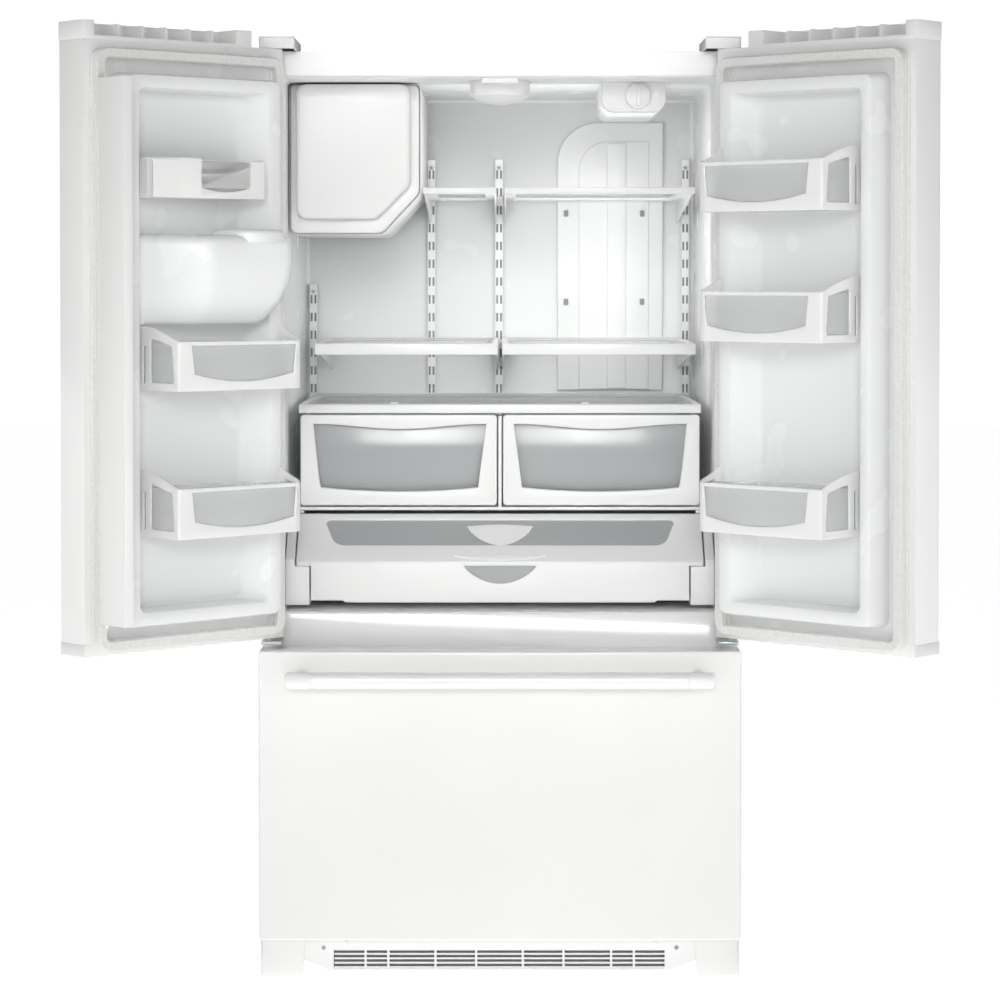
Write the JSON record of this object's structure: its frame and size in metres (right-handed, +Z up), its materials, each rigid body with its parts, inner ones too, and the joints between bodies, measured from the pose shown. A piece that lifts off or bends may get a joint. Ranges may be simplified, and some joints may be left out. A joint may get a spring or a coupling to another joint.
{
  "type": "french door refrigerator",
  "caption": "White free-standing refrigerator with two swinging doors, glass shelves, crispers, a lidded pantry drawer and a pull-out freezer drawer.",
  "frame": {"origin": "on the floor under the middle of the whole object's box with both doors wide open", "axes": "+Z up; +X to the right of a person facing the doors; +Y from the doors into the cabinet"},
  "size_m": [1.5882, 1.175, 1.779],
  "materials": {
    "white_enamel_steel": "gloss white enamel",
    "white_liner": "vacuum-formed polystyrene",
    "white_plastic": "moulded ABS",
    "white_matte_plastic": "fine texture",
    "clear_plastic": "clear moulded polystyrene",
    "tempered_glass": "polished",
    "white_vinyl": "soft vinyl",
    "zinc_steel": "zinc plated",
    "black_enamel_steel": "black enamel",
    "black_plastic": "moulded",
    "foam": "blown polyurethane",
    "grey_plastic": "moulded"
  },
  "bodies": {
    "cabinet": {"cabinet_shell": "white_enamel_steel", "insulation_foam": "foam", "fresh_food_liner": "white_liner", "freezer_liner": "white_liner", "rear_cover": "zinc_steel", "rear_inlets": "black_plastic", "base_frame": "zinc_steel", "compressor": "black_enamel_steel", "condenser": "black_enamel_steel", "door_hinges": "zinc_steel", "hinge_covers": "white_plastic", "base_grille": "white_plastic", "screws": "zinc_steel", "shelf_ladders": "white_enamel_steel", "upper_shelves": "white_plastic", "middle_shelves": "white_plastic", "crisper_cover": "white_plastic", "shelf_glass": "tempered_glass", "air_duct_panel": "white_plastic", "lamp_lens": "clear_plastic", "mullion_guide": "white_plastic", "filter_housing": "white_plastic", "ice_maker_housing": "white_plastic", "pantry_surround": "white_plastic", "freezer_slides": "zinc_steel"},
    "left_door": {"left_door_skin": "white_enamel_steel", "left_door_liner": "white_liner", "left_door_caps": "white_plastic", "left_door_gasket": "white_vinyl", "left_door_handle": "white_enamel_steel", "left_top_bin": "clear_plastic", "left_door_bins": "clear_plastic", "dispenser_recess": "white_plastic", "ice_chute": "white_liner"},
    "mullion_flap": {"mullion_flap": "white_plastic"},
    "dispenser_paddle": {"dispenser_paddle": "grey_plastic"},
    "right_door": {"right_door_skin": "white_enamel_steel", "right_door_liner": "white_liner", "right_door_caps": "white_plastic", "right_door_gasket": "white_vinyl", "right_door_handle": "white_enamel_steel", "right_door_bins": "clear_plastic"},
    "leg_left": {"leg_left": "zinc_steel"},
    "leg_right": {"leg_right": "zinc_steel"},
    "rollers": {"rear_rollers": "grey_plastic"},
    "fan": {"condenser_fan": "black_plastic"},
    "ice_bin": {"ice_bin": "white_plastic"},
    "filter_cap": {"filter_cap": "white_plastic"},
    "slider_left": {"humidity_slider_left": "white_plastic"},
    "slider_right": {"humidity_slider_right": "white_plastic"},
    "crisper_left": {"crisper_left": "clear_plastic"},
    "crisper_right": {"crisper_right": "clear_plastic"},
    "pantry_drawer": {"pantry_drawer": "white_plastic"},
    "pantry_lid": {"pantry_lid": "white_plastic"},
    "freezer_drawer": {"freezer_front": "white_enamel_steel", "freezer_inner_panel": "white_liner", "freezer_gasket": "white_vinyl", "freezer_handle": "white_enamel_steel", "freezer_basket": "white_matte_plastic"},
    "freezer_tray": {"freezer_tray": "white_matte_plastic"}
  },
  "joints": [
    {"name": "left_door_swing", "type": "hinge", "parent": "cabinet", "child": "left_door", "pos_m": [-0.436, -0.206, 1.2], "axis": [0, 0, -1], "range_deg": [-137.6, 0]},
    {"name": "right_door_swing", "type": "hinge", "parent": "cabinet", "child": "right_door", "pos_m": [0.436, -0.206, 1.2], "axis": [0, 0, 1], "range_deg": [-137.6, 0]},
    {"name": "mullion_fold", "type": "hinge", "parent": "left_door", "child": "mullion_flap", "pos_m": [-0.6985, -0.53101, 1.2], "axis": [0, 0, 1], "range_deg": [-90, 0]},
    {"name": "paddle_press", "type": "hinge", "parent": "left_door", "child": "dispenser_paddle", "pos_m": [-0.59499, -0.34035, 1.205], "axis": [-0.7385, -0.6743, 0], "range_deg": [0, 9], "stiffness_Nm_per_rad": 0.3},
    {"name": "pantry_slide", "type": "slide", "parent": "cabinet", "child": "pantry_drawer", "axis": [0, -1, 0], "range_m": [0, 0.35]},
    {"name": "pantry_lid_tilt", "type": "hinge", "parent": "cabinet", "child": "pantry_lid", "pos_m": [0, -0.015, 0.863], "axis": [-1, 0, 0], "range_deg": [0, 38]},
    {"name": "crisper_left_slide", "type": "slide", "parent": "cabinet", "child": "crisper_left", "axis": [0, -1, 0], "range_m": [0, 0.28]},
    {"name": "crisper_right_slide", "type": "slide", "parent": "cabinet", "child": "crisper_right", "axis": [0, -1, 0], "range_m": [0, 0.28]},
    {"name": "humidity_left_slide", "type": "slide", "parent": "cabinet", "child": "slider_left", "axis": [1, 0, 0], "range_m": [0, 0.04]},
    {"name": "humidity_right_slide", "type": "slide", "parent": "cabinet", "child": "slider_right", "axis": [1, 0, 0], "range_m": [0, 0.04]},
    {"name": "freezer_slide", "type": "slide", "parent": "cabinet", "child": "freezer_drawer", "axis": [0, -1, 0], "range_m": [0, 0.45]},
    {"name": "freezer_tray_slide", "type": "slide", "parent": "freezer_drawer", "child": "freezer_tray", "axis": [0, 1, 0], "range_m": [0, 0.2]},
    {"name": "ice_bin_slide", "type": "slide", "parent": "cabinet", "child": "ice_bin", "axis": [0, -1, 0], "range_m": [0, 0.22]},
    {"name": "filter_cap_turn", "type": "hinge", "parent": "cabinet", "child": "filter_cap", "pos_m": [0.268, -0.03, 1.672], "axis": [0, -1, 0], "range_deg": [0, 90]},
    {"name": "leg_left_turn", "type": "hinge", "parent": "cabinet", "child": "leg_left", "pos_m": [-0.418, -0.11, 0.02], "axis": [0, 0, 1], "continuous": true},
    {"name": "leg_right_turn", "type": "hinge", "parent": "cabinet", "child": "leg_right", "pos_m": [0.418, -0.11, 0.02], "axis": [0, 0, 1], "continuous": true},
    {"name": "roller_roll", "type": "hinge", "parent": "cabinet", "child": "rollers", "pos_m": [0, 0.53, 0.022], "axis": [1, 0, 0], "continuous": true},
    {"name": "fan_spin", "type": "hinge", "parent": "cabinet", "child": "fan", "pos_m": [0, 0.455, 0.152], "axis": [1, 0, 0], "continuous": true}
  ],
  "couplings": [
    {"joint": "mullion_fold", "follows": "left_door_swing", "ratio": 0.654}
  ]
}
